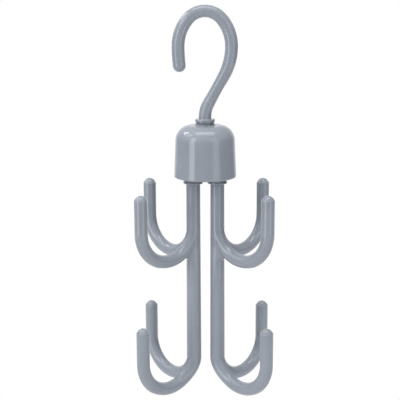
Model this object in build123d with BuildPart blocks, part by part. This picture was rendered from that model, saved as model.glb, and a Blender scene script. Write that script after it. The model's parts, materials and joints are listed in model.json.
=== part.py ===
from build123d import *
import os
from math import atan2, cos, degrees, radians, sin

os.makedirs("parts", exist_ok=True)

# Frame: millimetres, +Z up, front at -Y. The origin is where the rail touches the inside of the
# top hook's crown, on the axis that the hub turns about. The top hook lies in the XZ plane with
# its tip at -X, and the two arms hang side by side along X.

# Top hook
hook_rod_d = 8.3
hook_half_width = 17.6      # turning axis to the rod's centre, where the arch is widest
hook_rise = 22.8            # widest level to the rod's centre at the crown
hook_crown_r = 14.5         # radii of the bends are those of the rod's centre line
hook_flank_r = 40.3
hook_foot_r = 18.6
hook_lean_deg = 29.2        # slope of the straight run from the vertical
hook_foot_run = 1.3         # upright stretch above the collar
hook_foot_fillet = 0.6
hook_tip_r = 120.0
hook_tip_turn_deg = 6.1
hook_collar_h = 1.8
hook_collar_bevel = 0.4

# Swivels: one design serves the top hook and both arms
collar_d = 13.3
spindle_d = 7.0
running_clearance = 0.05    # radial, spindle in bore
thrust_gap = 0.4            # axial, between faces that turn on each other
slip_washer_d = 12.3
slip_washer_t = 1.3
steel_washer_d = 11.5
steel_washer_t = 1.0
washer_clearance = 0.1      # radial, washer round a spindle or a screw
swivel_screw_d = 3.0
swivel_screw_length = 12.0
swivel_head_d = 6.4
swivel_head_h = 2.4

# Hub
hub_d = 42.1                # across the rim
hub_draft = 1.4             # how much the radius drops from the rim to the shoulder
hub_h = 35.25               # rim to the foot of the neck
hub_crown_drop = 0.5        # fall of the top from the neck to the shoulder
hub_shoulder_r = 10.5
hub_rim_r = 0.7
hub_wall = 2.2
neck_d = 14.0
neck_h = 0.3
neck_bevel = 0.3
cover_boss_d = 15.0
cover_boss_h = 9.0
base_t = 3.4
base_recess = 0.5           # the base lies this much inside the rim
base_rebate = 0.6           # the cover's wall is cut back this much to seat the base
base_fit_gap = 0.1
base_boss_d = 13.6
base_boss_h = 6.2           # above the base's upper face
base_neck_h = 2.5           # below the base's lower face
screw_post_d = 6.6
screw_post_reach = 12.6     # hub axis to post axis
rib_t = 1.6

# Screws
base_screw_d = 3.0
base_screw_length = 10.0
base_head_d = 5.6
base_head_h = 1.8
base_head_clearance = 0.2
screw_hole_clearance = 0.05
screw_hole_spare = 1.0      # depth of a screw's hole past its end
screw_head_edge = 0.5
screw_end_bevel = 0.6
drive_slot_w = 0.9
drive_slot_depth = 1.1
drive_slot_length_share = 0.58

# Arms
arm_spacing = 16.35         # between the axes of the two stems
stem_top_d = 9.5
stem_bottom_d = 10.2
stem_end_drop = 5.0         # the stem runs this far past the centres of the lower claws' bends
arm_collar_h = 0.8
arm_cone_h = 1.0            # below the collar
arm_drop = 33.2             # rim of the hub to the centres of the upper claws' bends
claw_spacing = 90.9         # upper claws to lower claws
claw_rod_d = 8.8
claw_bend_r = 22.3
claw_leg = 22.9             # straight stretch above the bend
claw_tip_h = 3.2
claw_shoulder_h = 1.4
claw_shoulder_inset = 1.0
claw_spread_deg = 43.0      # each claw from the outward direction
left_arm_turn_deg = 2.5     # the arms turn freely, and the left one rests a little to the back
claw_root_r = 3.0           # fillet where the claws leave the stem

# Levels and places that follow from the sizes
hook_rod_r = hook_rod_d / 2
hook_lean = radians(hook_lean_deg)
bend_inset = (hook_flank_r + hook_foot_r) * (1 - cos(hook_lean))
slope_length = (hook_half_width - bend_inset) / sin(hook_lean)
slope_drop = (hook_flank_r + hook_foot_r) * sin(hook_lean) + slope_length * cos(hook_lean)
widest_z = hook_rod_r - hook_rise
hook_collar_top_z = widest_z - slope_drop - hook_foot_run
hook_collar_z = hook_collar_top_z - hook_collar_h
hook_slip_z = hook_collar_z - slip_washer_t
neck_top_z = hook_slip_z - thrust_gap
hub_top_z = neck_top_z - neck_h
shoulder_z = hub_top_z - hub_crown_drop
rim_z = hub_top_z - hub_h
base_z = rim_z + base_recess
base_top_z = base_z + base_t
cover_boss_z = hub_top_z - cover_boss_h
hook_spindle_z = cover_boss_z - thrust_gap
base_boss_z = base_top_z + base_boss_h
base_neck_z = base_z - base_neck_h
arm_spindle_z = base_boss_z + thrust_gap
arm_slip_z = base_neck_z - thrust_gap - slip_washer_t
arm_cone_top_z = arm_slip_z - arm_collar_h
stem_top_z = arm_cone_top_z - arm_cone_h
upper_claw_z = rim_z - arm_drop
lower_claw_z = upper_claw_z - claw_spacing
stem_end_z = lower_claw_z - stem_end_drop
stem_x = arm_spacing / 2
collar_r = collar_d / 2
spindle_r = spindle_d / 2
bore_r = spindle_r + running_clearance
rim_r = hub_d / 2
shoulder_r = rim_r - hub_draft
seat_r = rim_r - hub_wall + base_rebate
claw_r = claw_rod_d / 2
screw_post_places = [(0, -screw_post_reach), (0, screw_post_reach)]
stem_places = [(-stem_x, 0), (stem_x, 0)]


def dome_profile(inset):
    """Half section of the hub's outer form, or of its cavity when drawn in by the wall."""
    with BuildSketch(Plane.XZ) as profile:
        with BuildLine():
            Polyline(
                (0, rim_z),
                (rim_r - inset, rim_z),
                (shoulder_r - inset, shoulder_z - inset),
                (0, hub_top_z - inset),
                close=True,
            )
        make_face()
        shoulder = profile.vertices().sort_by(Axis.Y)[2]
        fillet(shoulder, hub_shoulder_r - inset)
    return profile.sketch


def ring(outer_d, hole_r, thickness, x, z):
    """Flat washer on an upright axis, its lower face at z."""
    with BuildPart() as washer:
        with BuildSketch(Plane.XY.offset(z)):
            with Locations((x, 0)):
                Circle(outer_d / 2)
                Circle(hole_r, mode=Mode.SUBTRACT)
        extrude(amount=thickness)
    return washer.part


def pan_screw(place, seat_z, head_up, shank_d, length, head_d, head_h):
    """Cross-slotted pan head screw: the head stands on the seat, the shank goes through it."""
    upward = 1 if head_up else -1
    seat = Plane(origin=(*place, seat_z), z_dir=(0, 0, upward))
    slot_length = drive_slot_length_share * head_d
    with BuildPart() as screw:
        with BuildSketch(seat):
            Circle(head_d / 2)
        extrude(amount=head_h)
        fillet(screw.faces().sort_by(Axis.Z, reverse=head_up)[0].edges(), screw_head_edge)
        with BuildSketch(seat):
            Circle(shank_d / 2)
        extrude(amount=-length)
        chamfer(screw.faces().sort_by(Axis.Z, reverse=not head_up)[0].edges(), screw_end_bevel)
        with BuildSketch(seat.offset(head_h)):
            Rectangle(slot_length, drive_slot_w)
            Rectangle(drive_slot_w, slot_length)
        extrude(amount=-drive_slot_depth, mode=Mode.SUBTRACT)
    return screw.part


# Top hook: rod, collar and spindle in one moulding
side_spread = hook_half_width**2 + hook_rise**2 - 2 * hook_rise * hook_crown_r
side_r = side_spread / (2 * (hook_half_width - hook_crown_r))
side_turn_deg = degrees(atan2(hook_rise - hook_crown_r, side_r - hook_half_width))
with BuildPart() as top_hook:
    with BuildLine(Plane.XZ):
        foot = Line((0, hook_collar_z), (0, hook_collar_top_z + hook_foot_run))
        foot_bend = JernArc(foot @ 1, foot % 1, hook_foot_r, -hook_lean_deg)
        slope = Line(foot_bend @ 1, foot_bend @ 1 + slope_length * (foot_bend % 1))
        flank = JernArc(slope @ 1, slope % 1, hook_flank_r, hook_lean_deg)
        right_side = JernArc(flank @ 1, flank % 1, side_r, side_turn_deg)
        crown = JernArc(right_side @ 1, right_side % 1, hook_crown_r, 180 - 2 * side_turn_deg)
        left_side = JernArc(crown @ 1, crown % 1, side_r, side_turn_deg)
        tip = JernArc(left_side @ 1, left_side % 1, hook_tip_r, hook_tip_turn_deg)
    with BuildSketch(Plane.XY.offset(hook_collar_z)):
        Circle(hook_rod_r)
    sweep()
    with Locations(tip @ 1):
        Sphere(hook_rod_r)
    with BuildSketch(Plane.XY.offset(hook_collar_z)):
        Circle(collar_r)
    extrude(amount=hook_collar_h)
    rings = top_hook.edges(Select.LAST).filter_by(GeomType.CIRCLE).group_by(SortBy.RADIUS)
    fillet(rings[0].sort_by(Axis.Z)[-1], hook_foot_fillet)
    chamfer(rings[-1], hook_collar_bevel)
    with BuildSketch(Plane.XY.offset(hook_spindle_z)):
        Circle(spindle_r)
    extrude(amount=hook_collar_z - hook_spindle_z)
    with BuildSketch(Plane.XY.offset(hook_spindle_z)):
        Circle(swivel_screw_d / 2 + screw_hole_clearance)
    extrude(amount=swivel_screw_length - steel_washer_t + screw_hole_spare, mode=Mode.SUBTRACT)
top_hook.part.label = "top_hook"
export_step(top_hook.part, "parts/top_hook.step")

# Hub cover: the cavity leaves the boss of the hook's bore and the two ribbed screw posts standing
with BuildPart() as cavity:
    add(dome_profile(hub_wall))
    revolve(axis=Axis.Z)
    with BuildSketch(Plane.XY.offset(cover_boss_z)):
        Circle(cover_boss_d / 2)
    extrude(amount=cover_boss_h, mode=Mode.SUBTRACT)
    with BuildSketch(Plane.XY.offset(base_top_z)):
        Rectangle(rib_t, hub_d)
        Rectangle(rib_t, 2 * screw_post_reach, mode=Mode.SUBTRACT)
        with Locations(*screw_post_places):
            Circle(screw_post_d / 2)
    extrude(amount=hub_top_z - base_top_z, mode=Mode.SUBTRACT)
    with BuildSketch(Plane.XY.offset(rim_z)):
        Circle(seat_r)
    extrude(amount=base_top_z - rim_z)
with BuildPart() as hub_cover:
    add(dome_profile(0))
    revolve(axis=Axis.Z)
    fillet(hub_cover.faces().sort_by(Axis.Z)[0].edges(), hub_rim_r)
    with BuildSketch(Plane.XY.offset(shoulder_z)):
        Circle(neck_d / 2)
    extrude(amount=neck_top_z - shoulder_z)
    chamfer(hub_cover.faces().sort_by(Axis.Z)[-1].edges(), neck_bevel)
    add(cavity.part, mode=Mode.SUBTRACT)
    with BuildSketch(Plane.XY.offset(neck_top_z)):
        Circle(bore_r)
    extrude(amount=cover_boss_z - neck_top_z, mode=Mode.SUBTRACT)
    with BuildSketch(Plane.XY.offset(base_top_z)):
        with Locations(*screw_post_places):
            Circle(base_screw_d / 2 + screw_hole_clearance)
    extrude(amount=base_screw_length - base_t + base_head_h + screw_hole_spare, mode=Mode.SUBTRACT)
hub_cover.part.label = "hub_cover"
export_step(hub_cover.part, "parts/hub_cover.step")

# Hub base: a disc in the cover's rebate, with a bored boss and neck for each arm's spindle
base_head_room = base_head_h + base_head_clearance
with BuildPart() as hub_base:
    with BuildSketch(Plane.XY.offset(base_z)):
        Circle(seat_r - base_fit_gap)
    extrude(amount=base_t)
    with BuildSketch(Plane.XY.offset(base_neck_z)):
        with Locations(*stem_places):
            Circle(base_boss_d / 2)
    extrude(amount=base_boss_z - base_neck_z)
    chamfer(hub_base.faces().sort_by(Axis.Z)[:len(stem_places)].edges(), neck_bevel)
    with BuildSketch(Plane.XY.offset(base_neck_z)):
        with Locations(*stem_places):
            Circle(bore_r)
    extrude(amount=base_boss_z - base_neck_z, mode=Mode.SUBTRACT)
    with BuildSketch(Plane.XY.offset(base_z)):
        with Locations(*screw_post_places):
            Circle(base_screw_d / 2 + screw_hole_clearance)
    extrude(amount=base_t, mode=Mode.SUBTRACT)
    with BuildSketch(Plane.XY.offset(base_z)):
        with Locations(*screw_post_places):
            Circle(base_head_d / 2 + base_head_clearance)
    extrude(amount=base_head_room, mode=Mode.SUBTRACT)
hub_base.part.label = "hub_base"
export_step(hub_base.part, "parts/hub_base.step")

# The two base screws share one node
with BuildPart() as base_screws:
    for place in screw_post_places:
        add(
            pan_screw(
                place,
                base_z + base_head_room,
                False,
                base_screw_d,
                base_screw_length,
                base_head_d,
                base_head_h,
            )
        )
base_screws.part.label = "base_screws"
export_step(base_screws.part, "parts/base_screws.step")


def claw(x, bend_z, heading_deg):
    """One claw: a bend down and out from the stem's axis, a leg and a blunt tip."""
    heading = radians(heading_deg)
    outward = Vector(cos(heading), sin(heading), 0)
    sideways = outward.cross(Vector(0, 0, 1))
    root = Vector(x, 0, bend_z)
    leg_end = root + 2 * claw_bend_r * outward + Vector(0, 0, claw_leg)
    with BuildPart() as piece:
        with BuildLine(Plane(root, x_dir=outward, z_dir=sideways)):
            bend = JernArc((0, 0), (0, -1), claw_bend_r, 180)
            Line(bend @ 1, bend @ 1 + claw_leg * (bend % 1))
        with BuildSketch(Plane(root, x_dir=outward, z_dir=(0, 0, -1))):
            Circle(claw_r)
        sweep()
        with BuildSketch(Plane(leg_end, x_dir=outward, z_dir=sideways)):
            with BuildLine():
                flank = Polyline(
                    (0, claw_tip_h),
                    (0, 0),
                    (claw_r, 0),
                    (claw_r - claw_shoulder_inset, claw_shoulder_h),
                )
                TangentArc(flank @ 0, flank @ 1, tangent=(1, 0))
            make_face()
        revolve(axis=Axis(leg_end, (0, 0, 1)))
    return piece.part


def arm(x, outward_deg):
    """Stem with its collar and spindle, and a front and a back claw at two levels."""
    heading = radians(outward_deg)
    inward = Vector(-cos(heading), -sin(heading), 0)
    with BuildPart() as piece:
        with BuildSketch(Plane((x, 0, 0), x_dir=inward, z_dir=inward.cross(Vector(0, 0, 1)))):
            with BuildLine():
                side = Polyline(
                    (0, stem_end_z - stem_bottom_d / 2),
                    (0, arm_spindle_z),
                    (spindle_r, arm_spindle_z),
                    (spindle_r, arm_slip_z),
                    (collar_r, arm_slip_z),
                    (collar_r, arm_cone_top_z),
                    (stem_top_d / 2, stem_top_z),
                    (stem_bottom_d / 2, stem_end_z),
                )
                RadiusArc(side @ 1, side @ 0, stem_bottom_d / 2)
            make_face()
        revolve(axis=Axis((x, 0, 0), (0, 0, 1)))
        for bend_z in (upper_claw_z, lower_claw_z):
            for spread_deg in (-claw_spread_deg, claw_spread_deg):
                add(claw(x, bend_z, outward_deg + spread_deg))
            roots = piece.edges().filter_by(GeomType.BSPLINE)
            fillet(roots.filter_by_position(Axis.Z, bend_z - claw_bend_r, bend_z), claw_root_r)
        with BuildSketch(Plane.XY.offset(arm_spindle_z)):
            with Locations((x, 0)):
                Circle(swivel_screw_d / 2 + screw_hole_clearance)
        extrude(amount=steel_washer_t - swivel_screw_length - screw_hole_spare, mode=Mode.SUBTRACT)
    return piece.part


left_arm = arm(-stem_x, 180 - left_arm_turn_deg)
left_arm.label = "left_arm"
export_step(left_arm, "parts/left_arm.step")
right_arm = arm(stem_x, 0)
right_arm.label = "right_arm"
export_step(right_arm, "parts/right_arm.step")

# Washers and screws of the three swivels
washer_hole_r = swivel_screw_d / 2 + washer_clearance
for name, x, slip_z, washer_z, head_up in (
    ("hook", 0, hook_slip_z, hook_spindle_z - steel_washer_t, False),
    ("left", -stem_x, arm_slip_z, arm_spindle_z, True),
    ("right", stem_x, arm_slip_z, arm_spindle_z, True),
):
    slip_washer = ring(slip_washer_d, spindle_r + washer_clearance, slip_washer_t, x, slip_z)
    slip_washer.label = f"{name}_slip_washer"
    export_step(slip_washer, f"parts/{name}_slip_washer.step")
    steel_washer = ring(steel_washer_d, washer_hole_r, steel_washer_t, x, washer_z)
    steel_washer.label = f"{name}_washer"
    export_step(steel_washer, f"parts/{name}_washer.step")
    screw = pan_screw(
        (x, 0),
        washer_z + (steel_washer_t if head_up else 0),
        head_up,
        swivel_screw_d,
        swivel_screw_length,
        swivel_head_d,
        swivel_head_h,
    )
    screw.label = f"{name}_screw"
    export_step(screw, f"parts/{name}_screw.step")
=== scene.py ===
import json
import math

import bmesh
import bpy
from mathutils import Matrix, Vector


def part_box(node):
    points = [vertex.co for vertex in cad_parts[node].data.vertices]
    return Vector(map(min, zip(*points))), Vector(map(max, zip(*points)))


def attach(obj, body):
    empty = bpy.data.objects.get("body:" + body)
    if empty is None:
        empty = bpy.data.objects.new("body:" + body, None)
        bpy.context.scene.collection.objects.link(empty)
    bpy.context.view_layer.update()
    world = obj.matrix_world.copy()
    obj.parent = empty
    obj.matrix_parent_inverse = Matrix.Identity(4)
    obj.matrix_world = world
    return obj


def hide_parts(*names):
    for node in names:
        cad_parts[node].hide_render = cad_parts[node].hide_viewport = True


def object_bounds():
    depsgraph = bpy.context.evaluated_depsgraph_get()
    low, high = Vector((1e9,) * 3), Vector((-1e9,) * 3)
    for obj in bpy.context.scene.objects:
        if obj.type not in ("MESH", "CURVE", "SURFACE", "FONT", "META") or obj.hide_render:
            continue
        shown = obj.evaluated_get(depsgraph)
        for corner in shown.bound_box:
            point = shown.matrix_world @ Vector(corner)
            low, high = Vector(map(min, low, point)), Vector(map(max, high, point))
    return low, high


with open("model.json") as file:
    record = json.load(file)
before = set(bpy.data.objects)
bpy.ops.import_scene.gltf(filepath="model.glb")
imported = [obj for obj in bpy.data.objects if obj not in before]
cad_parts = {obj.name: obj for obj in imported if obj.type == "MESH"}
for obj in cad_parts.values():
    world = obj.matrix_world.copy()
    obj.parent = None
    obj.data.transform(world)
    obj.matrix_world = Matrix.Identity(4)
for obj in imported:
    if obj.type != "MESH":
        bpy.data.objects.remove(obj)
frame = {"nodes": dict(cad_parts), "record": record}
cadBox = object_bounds()
nodes = frame["nodes"]
print("frame loaded:", len(nodes), "CAD nodes")

mm = 0.001


# Node trees. A Wire is a socket that adds Math nodes when it is used in plain arithmetic.

class Wire:
    def __init__(self, graph, socket):
        self.graph = graph
        self.socket = socket

    def maths(self, operation, *values):
        sockets = dict(enumerate(values))
        return self.graph.add("ShaderNodeMath", {"operation": operation}, sockets)

    def __add__(self, other):
        return self.maths("ADD", self, other)

    def __radd__(self, other):
        return self.maths("ADD", other, self)

    def __sub__(self, other):
        return self.maths("SUBTRACT", self, other)

    def __rsub__(self, other):
        return self.maths("SUBTRACT", other, self)

    def __mul__(self, other):
        return self.maths("MULTIPLY", self, other)

    def __rmul__(self, other):
        return self.maths("MULTIPLY", other, self)

    def __truediv__(self, other):
        return self.maths("DIVIDE", self, other)

    def call(self, operation, *others):  # SINE, MINIMUM and the like
        return self.maths(operation, self, *others)

    def out(self, name):  # another output of the same node
        return Wire(self.graph, self.socket.node.outputs[name])


class Graph:
    def __init__(self, tree):
        self.tree = tree
        tree.nodes.clear()

    def add(self, kind, settings=None, sockets=None, out=0):
        node = self.tree.nodes.new(kind)
        for key, value in (settings or {}).items():
            if key == "stops":
                self.setStops(node.color_ramp, value)
            else:
                setattr(node, key, value)
        for key, value in (sockets or {}).items():
            if isinstance(value, Wire):
                self.tree.links.new(value.socket, node.inputs[key])
            else:
                node.inputs[key].default_value = value
        return Wire(self, node.outputs[out]) if node.outputs else None

    def setStops(self, ramp, stops):
        for place, tone in stops[2:]:
            ramp.elements.new(place)
        for element, (place, tone) in zip(ramp.elements, stops):
            element.position = place
            element.color = (tone, tone, tone, 1)

    def ramp(self, value, *stops):  # a value sent through a curve of (place, result) stops
        return self.add("ShaderNodeValToRGB", {"stops": stops}, {"Fac": value})

    def rise(self, value, span):  # 0 below the span, 1 above it
        return self.ramp(value, (span[0], 0), (span[1], 1))

    def slide(self, value, span, low=0.0, high=1.0):  # eases from low to high over the span
        return self.add("ShaderNodeMapRange", {"interpolation_type": "SMOOTHSTEP"}, {
            "Value": value, "From Min": span[0], "From Max": span[1],
            "To Min": low, "To Max": high})

    def mix(self, factor, first, second):
        sockets = {"Factor": factor, 6: first, 7: second}  # 6 and 7 are its two colour sockets
        return self.add("ShaderNodeMix", {"data_type": "RGBA"}, sockets, 2)


def newMaterial(name):
    material = bpy.data.materials.new(name)
    material.use_nodes = True
    return material, Graph(material.node_tree)


def colour(rgb, gain=1.0):
    return (*(gain * part for part in rgb), 1)


# Surface patterns that the materials share. The noise reads Object coordinates, in metres.

traceSamples = 6  # rays that the edge and crease masks send out


def objectPlace(graph, turn=(0, 0, 0), scale=(1, 1, 1)):
    place = graph.add("ShaderNodeTexCoord", {}, {}, "Object")
    return graph.add("ShaderNodeMapping", {}, {"Vector": place, "Rotation": turn, "Scale": scale})


def noise(graph, place, perMetre, detail=2.0):
    return graph.add("ShaderNodeTexNoise", {}, {
        "Vector": place, "Scale": perMetre, "Detail": detail})


def bump(graph, height):  # the normal that a height in metres gives
    return graph.add("ShaderNodeBump", {}, {"Strength": 1.0, "Distance": 1.0, "Height": height})


def scratches(graph, perMetre, stretch, turns, thinness):
    # hair lines: noise drawn out one way and cut down to its middle level, once per turn
    total = None
    for turn in turns:
        place = objectPlace(graph, turn, (1, 1, 1 / stretch))
        level = noise(graph, place, perMetre, 1.0)
        line = graph.ramp(level, (0.5 - thinness, 0), (0.5, 1), (0.5 + thinness, 0))
        total = line if total is None else total.call("MAXIMUM", line)
    return total


def wornEdges(graph, radius, start, full):  # 1 on edges sharper than the radius, 0 on open faces
    softened = graph.add("ShaderNodeBevel", {"samples": traceSamples}, {"Radius": radius})
    flat = graph.add("ShaderNodeNewGeometry", {}, {}, "Normal")
    likeness = graph.add(
        "ShaderNodeVectorMath", {"operation": "DOT_PRODUCT"}, {0: softened, 1: flat}, "Value")
    return graph.rise(1 - likeness, (start, full))


def creaseShadeMask(graph, reach, full):  # painted shade: 1 deep in a crease, where shade falls, 0 in the open
    openness = graph.add(
        "ShaderNodeAmbientOcclusion", {"samples": traceSamples}, {"Distance": reach}, "AO")
    return graph.rise(1 - openness, (0, full))


# Glossy moulded plastic of the hook, the hub and the arms.

plasticLook = {  # lengths in metres
    "colour": (0.262, 0.288, 0.334),
    "paleShare": 1.04,      # where the pigment lies thin
    "deepShare": 0.96,
    "cloudPerMetre": 55,
    "cloudDetail": 3.0,
    "flowPerMetre": 260,    # flow lines along the moulding
    "flowStretch": 9,
    "flowWeight": 0.18,
    "blotchRange": (0.34, 0.66),
    "wearGain": 1.14,       # edges rub paler
    "wearWeight": 0.7,
    "wearRadius": 0.0004,
    "wearRange": (0.02, 0.18),
    "creaseShadeGain": 0.72,     # painted shade: the colour darkens by this in creases, where shade falls
    "creaseShadeReach": 0.0010,
    "creaseShadeFull": 0.75,
    "roughness": 0.11,
    "roughnessSpread": 0.07,
    "roughnessRange": (0.4, 0.7),
    "scratchRoughness": 0.14,
    "wearRoughness": 0.10,
    "sinkDepth": 0.00013,   # slow waves that the plastic takes as it cools
    "sinkPerMetre": 60,
    "peelDepth": 0.0000015,
    "peelPerMetre": 1400,
    "scratchDepth": 0.000002,
    "scratchPerMetre": 900,
    "scratchStretch": 40,
    "scratchTurns": ((0.3, 0.2, 0), (1.2, -0.5, 0.4), (-0.7, 0.9, 1.3)),
    "scratchThinness": 0.010,
    "specular": 0.5,
}


def makePlastic(look):
    material, graph = newMaterial("mouldedPlastic")
    place = objectPlace(graph)
    cloud = noise(graph, place, look["cloudPerMetre"], look["cloudDetail"])
    drawnOut = objectPlace(graph, scale=(1, 1, 1 / look["flowStretch"]))
    flow = noise(graph, drawnOut, look["flowPerMetre"])
    hair = scratches(
        graph, look["scratchPerMetre"], look["scratchStretch"],
        look["scratchTurns"], look["scratchThinness"])
    worn = wornEdges(graph, look["wearRadius"], *look["wearRange"])
    creaseShade = creaseShadeMask(graph, look["creaseShadeReach"], look["creaseShadeFull"])
    blotch = (1 - look["flowWeight"]) * cloud + look["flowWeight"] * flow
    tone = graph.mix(
        graph.rise(blotch, look["blotchRange"]),
        colour(look["colour"], look["deepShare"]),
        colour(look["colour"], look["paleShare"]))
    tone = graph.mix(look["wearWeight"] * worn, tone, colour(look["colour"], look["wearGain"]))
    # painted shade: the colour is darkened in creases and gaps, where shade falls
    tone = graph.mix(creaseShade, tone, colour(look["colour"], look["creaseShadeGain"]))
    patchy = graph.rise(cloud, look["roughnessRange"])
    rough = look["roughness"] + look["roughnessSpread"] * patchy
    rough = rough + look["scratchRoughness"] * hair + look["wearRoughness"] * worn
    waves = noise(graph, place, look["sinkPerMetre"], 1.0)
    peel = noise(graph, place, look["peelPerMetre"], 1.0)
    height = look["sinkDepth"] * waves + look["peelDepth"] * peel - look["scratchDepth"] * hair
    shader = graph.add("ShaderNodeBsdfPrincipled", {}, {
        "Base Color": tone,
        "Roughness": rough,
        "Specular IOR Level": look["specular"],
        "Normal": bump(graph, height),
    })
    graph.add("ShaderNodeOutputMaterial", {}, {"Surface": shader})
    return material


# Satin plastic of the slip washers, darker than the mouldings; the darker tone also paints the
# shade that falls in the gaps under the hub and the collars.

slipLook = {
    # darker than the mouldings: partly the washers' own tone, partly painted shade of the gaps
    "colour": (0.205, 0.226, 0.262),
    "deepShare": 0.8,
    "paleShare": 1.25,
    "cloudPerMetre": 400,
    "cloudRange": (0.35, 0.7),
    "roughness": 0.42,
    "rubPerMetre": 2600,    # rings rubbed in as the washers turn
    "rubStretch": 0.15,
    "rubRange": (0.4, 0.6),
    "rubRoughness": 0.18,
    "rubDepth": 0.000010,
}


def makeSlipPlastic(look):
    material, graph = newMaterial("slipPlastic")
    flattened = objectPlace(graph, scale=(look["rubStretch"], look["rubStretch"], 1))
    rub = noise(graph, flattened, look["rubPerMetre"])
    cloud = noise(graph, objectPlace(graph), look["cloudPerMetre"])
    tone = graph.mix(
        graph.rise(cloud, look["cloudRange"]),
        colour(look["colour"], look["deepShare"]),
        colour(look["colour"], look["paleShare"]))
    rough = look["roughness"] + look["rubRoughness"] * graph.rise(rub, look["rubRange"])
    normal = bump(graph, look["rubDepth"] * rub)
    shader = graph.add("ShaderNodeBsdfPrincipled", {}, {
        "Base Color": tone, "Roughness": rough, "Normal": normal})
    graph.add("ShaderNodeOutputMaterial", {}, {"Surface": shader})
    return material


# Zinc-plated steel of the screws and washers.

steelLook = {
    "colour": (0.60, 0.61, 0.62),
    "blueTint": (0.50, 0.55, 0.64),
    "warmTint": (0.66, 0.62, 0.52),
    "cloudPerMetre": 320,
    "cloudDetail": 3.0,
    "tintRange": (0.4, 0.62),
    "tintWeight": 0.7,
    "spanglePerMetre": 900,  # the plate's crystals
    "spangleWeight": 0.3,
    "roughness": 0.26,
    "cloudRoughness": 0.08,
    "grainPerMetre": 3000,
    "grainSquash": 6,
    "grainRange": (0.4, 0.6),
    "grainRoughness": 0.16,
    "grainDepth": 0.000005,
}


def makeSteel(look):
    material, graph = newMaterial("zincSteel")
    place = objectPlace(graph)
    cloud = noise(graph, place, look["cloudPerMetre"], look["cloudDetail"])
    spangle = graph.add(
        "ShaderNodeTexVoronoi", {}, {"Vector": place, "Scale": look["spanglePerMetre"]})
    squashed = objectPlace(graph, scale=(1, 1, look["grainSquash"]))
    grain = noise(graph, squashed, look["grainPerMetre"])
    tint = graph.mix(
        graph.rise(cloud, look["tintRange"]), colour(look["blueTint"]), colour(look["warmTint"]))
    share = look["tintWeight"] - look["spangleWeight"] * spangle
    tone = graph.mix(share, colour(look["colour"]), tint)
    rough = look["roughness"] + look["grainRoughness"] * graph.rise(grain, look["grainRange"])
    rough = rough + look["cloudRoughness"] * cloud
    normal = bump(graph, look["grainDepth"] * grain)
    shader = graph.add("ShaderNodeBsdfPrincipled", {}, {
        "Base Color": tone, "Roughness": rough, "Normal": normal, "Metallic": 1.0})
    graph.add("ShaderNodeOutputMaterial", {}, {"Surface": shader})
    return material


finishes = {
    "moulded_plastic": makePlastic(plasticLook),
    "slip_plastic": makeSlipPlastic(slipLook),
    "zinc_steel": makeSteel(steelLook),
}
for part in frame["record"]["subparts"]:
    mesh = nodes[part["node"]].data
    mesh.materials.clear()
    mesh.materials.append(finishes[part["material_slot"]])
plastic = finishes["moulded_plastic"]
print("materials made:", len(finishes))


# Geometry Nodes trees: a tree is built here with named inputs, run once, and kept as a plain mesh.

pathSteps = 300  # points that a Bezier line is cut into between two knots


class ShapeTree(Graph):
    def __init__(self, name):
        super().__init__(bpy.data.node_groups.new(name, "GeometryNodeTree"))
        self.inputs = []
        for way in ("INPUT", "OUTPUT"):
            self.tree.interface.new_socket(
                "Geometry", in_out=way, socket_type="NodeSocketGeometry")
        self.inputNode = self.tree.nodes.new("NodeGroupInput")

    def size(self, name, value, kind="NodeSocketFloat"):
        socket = self.tree.interface.new_socket(name, in_out="INPUT", socket_type=kind)
        self.inputs.append((socket.identifier, value))
        return Wire(self, self.inputNode.outputs[name])

    def entry(self):
        return Wire(self, self.inputNode.outputs["Geometry"])

    def finish(self, geometry, material):
        whole = self.add("GeometryNodeRealizeInstances", {}, {"Geometry": geometry})
        dressed = self.add("GeometryNodeSetMaterial", {}, {"Geometry": whole, "Material": material})
        self.add("NodeGroupOutput", {}, {"Geometry": dressed})


def emptyCarrier(name):
    carrier = bpy.data.objects.new(name, bpy.data.meshes.new(name))
    bpy.context.scene.collection.objects.link(carrier)
    return carrier


def bakeTree(name, carrier, tree):  # runs the tree on a carrier object and keeps the mesh alone
    modifier = carrier.modifiers.new("shape", "NODES")
    modifier.node_group = tree.tree
    for identifier, value in tree.inputs:
        modifier[identifier] = value
    evaluated = carrier.evaluated_get(bpy.context.evaluated_depsgraph_get())
    mesh = bpy.data.meshes.new_from_object(evaluated)
    carrier.modifiers.remove(modifier)
    bpy.data.objects.remove(carrier)
    mesh.name = name
    return mesh


def addPiece(name, mesh, body, sharpDegrees=40):
    piece = bpy.data.objects.new(name, mesh)
    bpy.context.scene.collection.objects.link(piece)
    for face in mesh.polygons:
        face.use_smooth = True
    mesh.set_sharp_from_angle(angle=math.radians(sharpDegrees))
    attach(piece, body)
    return piece


def pathObject(name, lines):
    # Bezier lines through knots of (place, handle behind, handle ahead), in metres
    curve = bpy.data.curves.new(name, "CURVE")
    curve.dimensions = "3D"
    curve.resolution_u = pathSteps
    for knots in lines:
        spline = curve.splines.new("BEZIER")
        spline.bezier_points.add(len(knots) - 1)
        for point, (place, behind, ahead) in zip(spline.bezier_points, knots):
            point.handle_left_type = point.handle_right_type = "FREE"
            point.co, point.handle_left, point.handle_right = place, behind, ahead
    path = bpy.data.objects.new(name, curve)
    bpy.context.scene.collection.objects.link(path)
    return path


def uprightKnots(knots):
    # flat (across, up) knots in millimetres, stood up in the XZ plane in metres
    return [[mm * Vector((across, 0, up)) for across, up in knot] for knot in knots]


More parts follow.
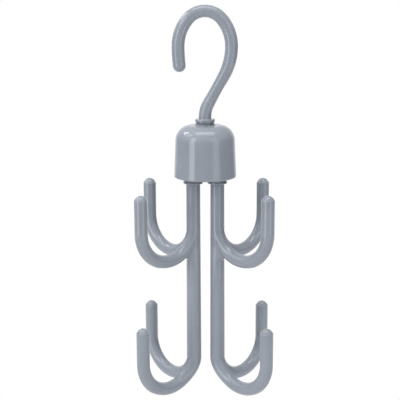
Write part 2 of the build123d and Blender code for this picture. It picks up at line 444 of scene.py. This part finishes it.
def walkArcs(start, heading, legs):
    # knots of a flat path of straight legs (length,) and arcs (radius, turn in radians), as
    # (across, up) pairs; an arc's handles are those of the cubic that fits it
    place, angle = Vector(start), heading
    knots = [[place.copy(), place.copy(), place.copy()]]
    for leg in legs:
        ahead = Vector((math.cos(angle), math.sin(angle)))
        if len(leg) == 1:
            place = place + leg[0] * ahead
            reach = leg[0] / 3
        else:
            radius, turn = leg
            side = math.copysign(1, turn)
            centre = place + side * radius * Vector((-ahead.y, ahead.x))
            place = centre + Matrix.Rotation(turn, 2) @ (place - centre)
            angle += turn
            reach = 4 / 3 * math.tan(abs(turn) / 4) * radius
        knots[-1][2] = knots[-1][0] + reach * ahead
        onward = Vector((math.cos(angle), math.sin(angle)))
        knots.append([place.copy(), place - reach * onward, place.copy()])
    return knots


# Top hook: its rod follows a path of arcs, so Geometry Nodes sweep it; the collar and the
# spindle are turned.

hookShape = {  # millimetres, and degrees for the turns
    "rod": 8.3,
    "limbShare": 1.03,      # how thick the rod is on its limbs, as a share of its nominal size
    "slopeDip": 0.12,       # how much thinner it is on the slope and at the crown
    "slopeAt": 0.17,        # where that is, as a share of the path
    "slopeSpread": 0.09,
    "crownDip": 0.05,
    "crownAt": 0.63,
    "crownSpread": 0.10,
    "seamShare": 0.012,     # how far the mould's parting line stands out
    "halfWidth": 17.6,
    "rise": 22.8,
    "crown": 14.5,
    "flank": 40.3,
    "foot": 18.6,
    "lean": 29.2,
    "footRun": 1.3,
    "footFillet": 0.6,
    "tip": 120.0,
    "tipTurn": 6.1,
    "collarHeight": 1.8,
    "collarBevel": 0.4,
    "spindle": 7.0,
    "screwHole": 3.1,
    "screwHoleDepth": 12.0,
    "axisGap": 0.1,         # the turned profile stops this short of the axis
    "rings": 460,
    "tipRings": 28,
    "tipLeft": 0.0001,      # size of the last ring, as a share of the rod
    "sides": 96,
    "turnedSides": 96,
}


def hookKnots(shape):
    lean, halfWidth = math.radians(shape["lean"]), shape["halfWidth"]
    spread = halfWidth ** 2 + shape["rise"] ** 2 - 2 * shape["rise"] * shape["crown"]
    side = spread / (2 * (halfWidth - shape["crown"]))
    sideTurn = math.atan2(shape["rise"] - shape["crown"], side - halfWidth)
    bends = shape["flank"] + shape["foot"]
    slope = (halfWidth - bends * (1 - math.cos(lean))) / math.sin(lean)
    drop = bends * math.sin(lean) + slope * math.cos(lean) + shape["footRun"]
    collarTop = shape["rod"] / 2 - shape["rise"] - drop
    half = math.radians(90) - sideTurn
    legs = [
        (shape["footRun"] + shape["collarHeight"] / 2,),
        (shape["foot"], -lean),
        (slope,),
        (shape["flank"], lean),
        (side, sideTurn),
        (shape["crown"], half),
        (shape["crown"], half),
        (side, sideTurn),
        (shape["tip"], math.radians(shape["tipTurn"])),
        (shape["rod"] / 2,),
    ]
    start = (0, collarTop - shape["collarHeight"] / 2)
    knots = walkArcs(start, math.radians(90), legs)
    return uprightKnots(knots), collarTop


def dip(tree, share, depth, place, spread):  # a smooth dip round one place of the path
    away = (share - place) / spread
    return depth * (-1 * away * away).call("EXPONENT")


def rodTree(shape):
    # a round rod along a path, thinner on the slope and at the crown, with a domed end and a
    # fine parting line on its outer and inner side
    tree = ShapeTree("hookRod")
    radius = tree.size("Rod Radius", shape["rod"] / 2 * mm)
    limb = tree.size("Limb Share", shape["limbShare"])
    slopeDip = tree.size("Slope Dip", shape["slopeDip"])
    crownDip = tree.size("Crown Dip", shape["crownDip"])
    seam = tree.size("Seam Share", shape["seamShare"])
    rings = tree.size("Rings", shape["rings"], "NodeSocketInt")
    tipRings = tree.size("Tip Rings", shape["tipRings"], "NodeSocketInt")
    sides = tree.size("Sides", shape["sides"], "NodeSocketInt")
    path = tree.entry()
    length = tree.add("GeometryNodeCurveLength", {}, {"Curve": path})
    line = tree.add("GeometryNodeCurvePrimitiveLine", {}, {"End": (0, 0, 1)})
    line = tree.add("GeometryNodeResampleCurve", {}, {"Curve": line, "Count": rings})
    index = tree.add("GeometryNodeInputIndex")
    bodyRings = rings - tipRings
    run = (index / bodyRings).call("MINIMUM", 1.0)
    swing = ((index - bodyRings) / (tipRings - 1)).call("MAXIMUM", 0.0) * (math.pi / 2)
    reached = run * (length - radius) + radius * swing.call("SINE")
    sample = tree.add(
        "GeometryNodeSampleCurve", {"mode": "LENGTH"}, {"Curves": path, "Length": reached})
    share = reached / length
    thick = limb - dip(tree, share, slopeDip, shape["slopeAt"], shape["slopeSpread"])
    thick = thick - dip(tree, share, crownDip, shape["crownAt"], shape["crownSpread"])
    size = radius * thick * swing.call("COSINE").call("MAXIMUM", shape["tipLeft"])
    line = tree.add(
        "GeometryNodeSetPosition", {}, {"Geometry": line, "Position": sample.out("Position")})
    ring = tree.add("GeometryNodeCurvePrimitiveCircle", {}, {"Resolution": sides, "Radius": 1.0})
    onSeam = index.call("MODULO", sides / 2).call("LESS_THAN", 0.5)
    outward = tree.add("ShaderNodeVectorMath", {"operation": "SCALE"}, {
        0: tree.add("GeometryNodeInputPosition"), "Scale": seam * onSeam})
    ring = tree.add("GeometryNodeSetPosition", {}, {"Geometry": ring, "Offset": outward})
    rod = tree.add("GeometryNodeCurveToMesh", {}, {
        "Curve": line, "Profile Curve": ring, "Scale": size, "Fill Caps": True})
    tree.finish(rod, plastic)
    return tree


def turned(profile, segments):
    # a closed solid of revolution from (radius, height) points, turned about the upright axis
    solid = bmesh.new()
    loops = []
    for step in range(segments):
        angle = 2 * math.pi * step / segments
        loops.append([
            solid.verts.new((r * math.cos(angle), r * math.sin(angle), z)) for r, z in profile])
    for step in range(segments):
        here, there = loops[step], loops[(step + 1) % segments]
        for low in range(len(profile)):
            high = (low + 1) % len(profile)
            solid.faces.new((here[low], there[low], there[high], here[high]))
    bmesh.ops.recalc_face_normals(solid, faces=solid.faces)
    return solid


def rounded(corner, before, after, radius, steps=4):  # points of a corner between its neighbours
    corner, before, after = Vector(corner), Vector(before), Vector(after)
    start = corner + radius * (before - corner).normalized()
    end = corner + radius * (after - corner).normalized()
    points = []
    for step in range(steps + 1):
        t = step / steps
        points.append(((1 - t) ** 2 * start + 2 * t * (1 - t) * corner + t ** 2 * end)[:])
    return points


def makeTopHook(shape):
    knots, collarTop = hookKnots(shape)
    rod = bakeTree("hookRod", pathObject("hookPath", [knots]), rodTree(shape))
    low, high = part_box("top_hook")
    collarR = high.y
    top, foot = collarTop * mm, (collarTop - shape["collarHeight"]) * mm
    spindle, hole = shape["spindle"] / 2 * mm, shape["screwHole"] / 2 * mm
    bevel, fillet = shape["collarBevel"] * mm, shape["footFillet"] * mm
    deep = low.z + shape["screwHoleDepth"] * mm
    rodR = shape["rod"] / 2 * shape["limbShare"] * mm
    axis = shape["axisGap"] * mm
    corners = [
        (hole, deep), (hole, low.z), (spindle, low.z), (spindle, foot),
        (collarR, foot), (collarR, top), (rodR, top), (rodR, top + fillet),
        (axis, top + fillet), (axis, deep)]
    cornerRadii = {4: bevel, 5: bevel, 6: fillet}  # by place in the list of corners
    profile = []
    for place, corner in enumerate(corners):
        if place in cornerRadii:
            profile += rounded(corner, corners[place - 1], corners[place + 1], cornerRadii[place])
        else:
            profile.append(corner)
    solid = turned(profile, shape["turnedSides"])
    solid.from_mesh(rod)
    mesh = bpy.data.meshes.new("topHook")
    solid.to_mesh(mesh)
    solid.free()
    mesh.materials.append(plastic)
    piece = addPiece("topHook", mesh, "top_hook")
    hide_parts("top_hook")


makeTopHook(hookShape)
print("top hook made")


# Parting lines of the arms' mould: a fine ridge on the inner and outer side of each claw.
# One pair of paths is drawn, and Geometry Nodes sweep it and set it round the stem.

claws = {  # millimetres, and degrees for the turns
    "stem": 8.175,          # turning axis of the hub to the axis of a stem
    "upper": -139.034,      # centres of the bends
    "lower": -229.934,
    "bend": 22.3,
    "leg": 22.9,
    "rod": 8.8,
    "spread": 43.0,         # each claw from the outward direction
    "leftTurn": 2.5,        # the left arm rests turned back by this much
    "ridgeWidth": 0.34,
    "ridgeHeight": 0.04,
    "innerStart": 20.0,     # where the ridges leave the stem, round the bend
    "outerStart": 35.0,
    "diveRadius": 1.5,      # the arc and the run by which their ends sink into the claw
    "diveTurn": 20.0535,
    "diveRun": 0.6,
    "rings": 240,
    "sides": 8,
}

armSides = (  # name, body, side and the direction that its claws spread from
    ("left", "left_arm", -1, 180 - claws["leftTurn"]),
    ("right", "right_arm", 1, 0),
)


def setRound(tree, piece, count, level, side, turnDegrees):
    # copies of a piece round a stem, one turned forward and the next one back
    stem = tree.size("Stem Place", side * claws["stem"] * mm)
    outward = tree.size("Outward Heading", math.radians(turnDegrees))
    spread = tree.size("Spread", math.radians(claws["spread"]))
    isBack = tree.add("GeometryNodeInputIndex").call("MODULO", 2.0)
    place = tree.add("ShaderNodeCombineXYZ", {}, {"X": stem, "Z": level})
    heading = tree.add("ShaderNodeCombineXYZ", {}, {"Z": outward + (2 * isBack - 1) * spread})
    turn = tree.add("FunctionNodeEulerToRotation", {}, {"Euler": heading})
    points = tree.add("GeometryNodePoints", {}, {"Count": count, "Position": place})
    return tree.add("GeometryNodeInstanceOnPoints", {}, {
        "Points": points, "Instance": piece, "Rotation": turn})


def ridgeKnots(shape, side, start):  # side 1 is the outer line of the claw, -1 the inner one
    sunk = side * (shape["ridgeWidth"] / 2 - shape["ridgeHeight"])
    radius = shape["bend"] + side * shape["rod"] / 2 - sunk
    angle = math.radians(start)
    first = (shape["bend"] - radius * math.cos(angle), -radius * math.sin(angle))
    dive = shape["diveRadius"], side * math.radians(shape["diveTurn"])
    legs = [(radius, math.pi - angle), (shape["leg"],), dive, (shape["diveRun"],)]
    return uprightKnots(walkArcs(first, angle - math.pi / 2, legs))


def ridgeTree(shape, side, turnDegrees):
    tree = ShapeTree("partingRidges")
    width = tree.size("Ridge Width", shape["ridgeWidth"] * mm)
    rings = tree.size("Rings", shape["rings"], "NodeSocketInt")
    sides = tree.size("Sides", shape["sides"], "NodeSocketInt")
    upper = tree.size("Upper Level", shape["upper"] * mm)
    lower = tree.size("Lower Level", shape["lower"] * mm)
    line = tree.add("GeometryNodeResampleCurve", {}, {"Curve": tree.entry(), "Count": rings})
    ring = tree.add(
        "GeometryNodeCurvePrimitiveCircle", {}, {"Resolution": sides, "Radius": width / 2})
    ridge = tree.add(
        "GeometryNodeCurveToMesh", {}, {"Curve": line, "Profile Curve": ring, "Fill Caps": True})
    isLower = tree.add("GeometryNodeInputIndex").call("GREATER_THAN", 1.5)  # the last two of four
    level = upper + isLower * (lower - upper)
    tree.finish(setRound(tree, ridge, 4, level, side, turnDegrees), plastic)
    return tree


ridgePaths = [
    ridgeKnots(claws, 1, claws["outerStart"]),
    ridgeKnots(claws, -1, claws["innerStart"]),
]
for name, body, side, turnDegrees in armSides:
    carrier = pathObject("ridgePath", ridgePaths)
    ridges = bakeTree(f"{name}Ridges", carrier, ridgeTree(claws, side, turnDegrees))
    addPiece(f"{name}Ridges", ridges, body)
print("parting lines made")


# Feet of the stems: a skin that carries the stem's full thickness round into the two lower claws,
# so that no step shows where the stem ends.

feet = {  # millimetres, degrees, and shares of the path
    "start": 2.0,           # above the centres of the bends, inside the stem
    "straight": 5.0,        # the stem's own end below them
    "topRadius": 5.08,      # just inside the stem
    "endRadius": 4.43,      # just outside the claw
    "sunkRadius": 4.30,     # the last rings sink into the claw
    "endAngle": 62.0,       # round the bend
    "sunkAngle": 68.0,
    "straightHandle": 1.125,
    "footHandle": 4.5,      # how far the curve runs on before it turns
    "endHandle": 9.5,
    "sunkHandle": 0.5,
    "taperFrom": 0.25,
    "taperTo": 0.90,
    "sinkFrom": 0.88,
    "rings": 96,
    "sides": 72,
}


def bendPoint(angle):  # a place on the centre line of a claw's bend and the heading there
    place = claws["bend"] * Vector((1 - math.cos(angle), -math.sin(angle)))
    return place, Vector((math.sin(angle), -math.cos(angle)))


def footKnots(shape):
    top, foot = Vector((0, shape["start"])), Vector((0, -shape["straight"]))
    end, endHeading = bendPoint(math.radians(shape["endAngle"]))
    sunk, sunkHeading = bendPoint(math.radians(shape["sunkAngle"]))
    down = Vector((0, -1))
    straight, short = shape["straightHandle"] * down, shape["sunkHandle"]
    return uprightKnots([
        (top, top, top + straight),
        (foot, foot - straight, foot + shape["footHandle"] * down),
        (end, end - shape["endHandle"] * endHeading, end + short * endHeading),
        (sunk, sunk - short * sunkHeading, sunk)])


def footTree(shape, side, turnDegrees):
    tree = ShapeTree("stemFeet")
    top = tree.size("Top Radius", shape["topRadius"] * mm)
    end = tree.size("End Radius", shape["endRadius"] * mm)
    sunk = tree.size("Sunk Radius", shape["sunkRadius"] * mm)
    rings = tree.size("Rings", shape["rings"], "NodeSocketInt")
    sides = tree.size("Sides", shape["sides"], "NodeSocketInt")
    lower = tree.size("Lower Level", claws["lower"] * mm)
    line = tree.add("GeometryNodeResampleCurve", {}, {"Curve": tree.entry(), "Count": rings})
    share = tree.add("GeometryNodeInputIndex") / (rings - 1)
    taper = tree.slide(share, (shape["taperFrom"], shape["taperTo"]), top, end)
    sink = tree.slide(share, (shape["sinkFrom"], 1.0))
    radius = taper + sink * (sunk - end)
    ring = tree.add("GeometryNodeCurvePrimitiveCircle", {}, {"Resolution": sides, "Radius": 1.0})
    skin = tree.add("GeometryNodeCurveToMesh", {}, {
        "Curve": line, "Profile Curve": ring, "Scale": radius, "Fill Caps": True})
    tree.finish(setRound(tree, skin, 2, lower, side, turnDegrees), plastic)
    return tree


for name, body, side, turnDegrees in armSides:
    carrier = pathObject("footPath", [footKnots(feet)])
    skin = bakeTree(f"{name}Feet", carrier, footTree(feet, side, turnDegrees))
    addPiece(f"{name}Feet", skin, body)
print("stem feet made")


# Ejector pin marks on the underside of the hub's base: fine rings set out on a circle.

ejectors = {
    "count": 4,
    "reach": 16.0,          # millimetres from the hub's axis
    "markRadius": 1.6,
    "markSides": 40,
    "lineWidth": 0.16,
    "lineSides": 8,
    "level": -105.334,      # the underside of the base
}


def ejectorTree(shape):
    tree = ShapeTree("ejectorMarks")
    count = tree.size("Count", shape["count"], "NodeSocketInt")
    reach = tree.size("Reach", shape["reach"] * mm)
    markRadius = tree.size("Mark Radius", shape["markRadius"] * mm)
    width = tree.size("Line Width", shape["lineWidth"] * mm)
    level = tree.size("Level", shape["level"] * mm)
    mark = tree.add("GeometryNodeCurvePrimitiveCircle", {}, {
        "Resolution": shape["markSides"], "Radius": markRadius})
    ring = tree.add("GeometryNodeCurvePrimitiveCircle", {}, {
        "Resolution": shape["lineSides"], "Radius": width / 2})
    mark = tree.add("GeometryNodeCurveToMesh", {}, {"Curve": mark, "Profile Curve": ring})
    angle = (tree.add("GeometryNodeInputIndex") + 0.5) * (2 * math.pi) / count
    place = tree.add("ShaderNodeCombineXYZ", {}, {
        "X": reach * angle.call("COSINE"), "Y": reach * angle.call("SINE"), "Z": level})
    points = tree.add("GeometryNodePoints", {}, {"Count": count, "Position": place})
    marks = tree.add("GeometryNodeInstanceOnPoints", {}, {"Points": points, "Instance": mark})
    tree.finish(marks, plastic)
    return tree


marks = bakeTree("ejectorMarks", emptyCarrier("marks"), ejectorTree(ejectors))
addPiece("ejectorMarks", marks, "hub")
print("ejector marks made")


# Floor, light and camera.

studio = {
    "floorDrop": 0.20,      # metres from the lowest claw to the floor
    "floorSize": 2.4,
    "floorGlow": 1.0,
    "cameraAim": (-0.0036, 0.0, -0.1222),
    "cameraDistance": 0.68,
    "cameraRise": 0.215,    # radians above the horizon
    "cameraRoll": math.radians(-0.25),
    "lens": 90.0,
    "sensor": 36.0,
    "clip": (0.05, 50),
    "airLeft": 0.24,        # glow of the room: left, right, added above, and behind the object
    "airRight": 0.08,
    "airTop": 0.60,
    "airBack": 1.1,
    "sideSpan": (-0.7, 0.7),    # where each glow sets in, along the heading's X, Y and Z
    "backSpan": (0.55, 0.90),
    "topSpan": (0.1, 0.5),
    "lightAim": (0.0, 0.0, -0.12),
    "panels": {             # direction from the aim, distance, size and brightness
        "leftStrip": ((-0.763, -0.640, 0.087), 1.0, (0.36, 1.3), 3.5),
        "rightStrip": ((0.670, -0.738, 0.087), 1.0, (0.46, 1.3), 1.6),
        "topPanel": ((0.0, -0.17, 0.98), 0.95, (0.90, 0.44), 3.5),
        "topLeftPanel": ((-0.66, 0.31, 0.68), 1.0, (0.24, 0.24), 7.0),
        "cornerPanel": ((-0.69, -0.10, 0.71), 1.0, (0.36, 0.36), 2.0),
    },
}


def makeFloor():
    size = studio["floorSize"] / 2
    level = cadBox[0].z - studio["floorDrop"]
    corners = [
        (-size, -size, level), (size, -size, level), (size, size, level), (-size, size, level)]
    mesh = bpy.data.meshes.new("floor")
    mesh.from_pydata(corners, [], [(0, 1, 2, 3)])
    floor = bpy.data.objects.new("floor", mesh)
    bpy.context.scene.collection.objects.link(floor)
    material, graph = newMaterial("paleFloor")
    glow = graph.add("ShaderNodeEmission", {}, {
        "Color": (1, 1, 1, 1), "Strength": studio["floorGlow"]})
    graph.add("ShaderNodeOutputMaterial", {}, {"Surface": glow})
    mesh.materials.append(material)


def addPanel(name, heading, distance, size, radiance):
    # a soft rectangular light; its power follows from its area and its brightness
    lamp = bpy.data.lights.new(name, "AREA")
    lamp.shape = "RECTANGLE"
    lamp.size, lamp.size_y = size
    lamp.energy = radiance * math.pi * size[0] * size[1]
    panel = bpy.data.objects.new(name, lamp)
    heading = Vector(heading).normalized()
    panel.location = Vector(studio["lightAim"]) + distance * heading
    panel.rotation_mode = "QUATERNION"
    panel.rotation_quaternion = (-heading).to_track_quat("-Z", "Y")
    bpy.context.scene.collection.objects.link(panel)


def makeWorld():
    world = bpy.data.worlds.new("studioAir")
    world.use_nodes = True
    bpy.context.scene.world = world
    graph = Graph(world.node_tree)
    heading = graph.add("ShaderNodeTexCoord", {}, {}, "Generated")
    axes = graph.add("ShaderNodeSeparateXYZ", {}, {0: heading})
    sides = graph.slide(axes, studio["sideSpan"], studio["airLeft"], studio["airRight"])
    back = graph.slide(axes.out("Y"), studio["backSpan"])
    above = graph.slide(axes.out("Z"), studio["topSpan"])
    level = sides + studio["airTop"] * above + back * (1 - above) * (studio["airBack"] - sides)
    seen = graph.add("ShaderNodeLightPath", {}, {}, "Is Camera Ray")
    white = graph.add("ShaderNodeBackground", {}, {"Color": (1, 1, 1, 1), "Strength": 1.0})
    air = graph.add("ShaderNodeBackground", {}, {"Color": (1, 1, 1, 1), "Strength": level})
    both = graph.add("ShaderNodeMixShader", {}, {0: seen, 1: air, 2: white})
    graph.add("ShaderNodeOutputWorld", {}, {"Surface": both})


def makeCamera():
    lens = bpy.data.cameras.new("camera")
    lens.lens = studio["lens"]
    lens.sensor_width = studio["sensor"]
    lens.clip_start, lens.clip_end = studio["clip"]
    camera = bpy.data.objects.new("camera", lens)
    rise, reach = studio["cameraRise"], studio["cameraDistance"]
    target = Vector((0, 0, studio["cameraAim"][2]))
    camera.location = target + Vector((0, -math.cos(rise), math.sin(rise))) * reach
    look = (Vector(studio["cameraAim"]) - camera.location).to_track_quat("-Z", "Y")
    camera.rotation_mode = "QUATERNION"
    roll = Matrix.Rotation(studio["cameraRoll"], 3, "Z").to_quaternion()
    camera.rotation_quaternion = look @ roll
    bpy.context.scene.collection.objects.link(camera)
    bpy.context.scene.camera = camera


makeFloor()
makeWorld()
makeCamera()
for panelName, (heading, distance, size, radiance) in studio["panels"].items():
    addPanel(panelName, heading, distance, size, radiance)
bpy.context.scene.view_settings.view_transform = "Standard"
print("stage set")
